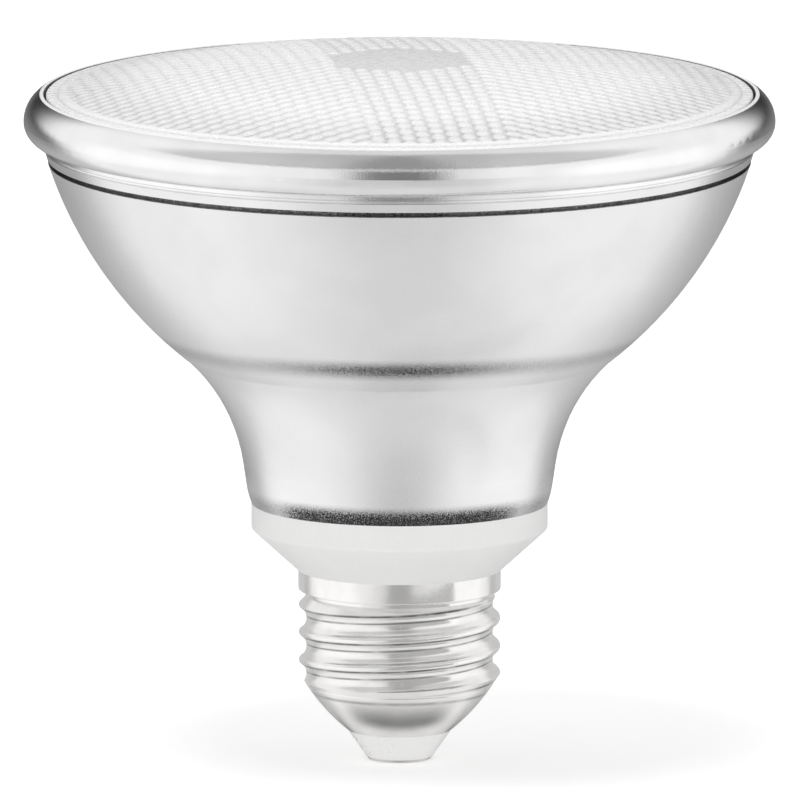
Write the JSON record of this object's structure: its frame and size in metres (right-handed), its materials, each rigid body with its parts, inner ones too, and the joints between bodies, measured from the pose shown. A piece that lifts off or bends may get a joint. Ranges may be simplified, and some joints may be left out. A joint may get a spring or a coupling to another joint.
{
  "type": "par spotlight bulb",
  "caption": "Short-neck reflector spotlight bulb with a domed prismatic lens, a polished rim ring, a satin silver bowl-shaped body, a white collar and a nickel screw cap.",
  "frame": {"origin": "centre of the contact's flat end, which is the lamp's lowest point", "axes": "+Z along the lamp's axis from the cap to the lens, with -Y towards the picture's camera"},
  "size_m": [0.097, 0.097, 0.0918],
  "materials": {
    "contact_brass": "tinned and slightly dull",
    "insulator_ceramic": "smooth white",
    "nickel_shell": "bright nickel plate on rolled brass sheet",
    "white_plastic": "smooth white moulding",
    "satin_aluminium": "fine satin silver",
    "polished_ring": "polished, with a fine grain",
    "clear_lens": "clear, with moulded bumps on its face",
    "pale_rubber": "translucent silicone",
    "metallised_cup": "metallised moulding",
    "pad_rubber": "soft grey",
    "white_board": "white solder mask on aluminium",
    "screw_steel": "zinc plated",
    "carrier_ceramic": "fine white",
    "phosphor": "silicone with a yellow phosphor",
    "green_board": "green solder mask",
    "film_case": "dipped coat",
    "varistor_coat": "dipped coat",
    "black_moulding": "moulded epoxy",
    "can_sleeve": "shrunk sleeve",
    "resistor_coat": "lacquer",
    "ferrite": "sintered, dark grey",
    "winding_tape": "yellow polyester tape",
    "red_lead": "insulated wire",
    "black_lead": "insulated wire"
  },
  "bodies": {
    "root": {"centre_contact": "contact_brass", "cap_insulator": "insulator_ceramic", "screw_shell": "nickel_shell", "driver_housing": "white_plastic", "driver_cover": "white_plastic", "lamp_body": "satin_aluminium", "front_ring": "polished_ring", "front_lens": "clear_lens", "lens_seal": "pale_rubber", "reflector_cup": "metallised_cup", "thermal_pad": "pad_rubber", "led_board": "white_board", "board_screws": "screw_steel", "led_carrier": "carrier_ceramic", "led_phosphor": "phosphor", "driver_board": "green_board", "film_capacitor": "film_case", "varistor": "varistor_coat", "bridge_rectifier": "black_moulding", "bulk_capacitor": "can_sleeve", "output_capacitor": "can_sleeve", "fuse_resistor": "resistor_coat", "input_choke": "ferrite", "driver_chip": "black_moulding", "transformer_core": "ferrite", "transformer_winding": "winding_tape", "led_lead_front": "red_lead", "led_lead_back": "black_lead", "contact_lead": "black_lead", "shell_lead": "red_lead"}
  },
  "joints": []
}
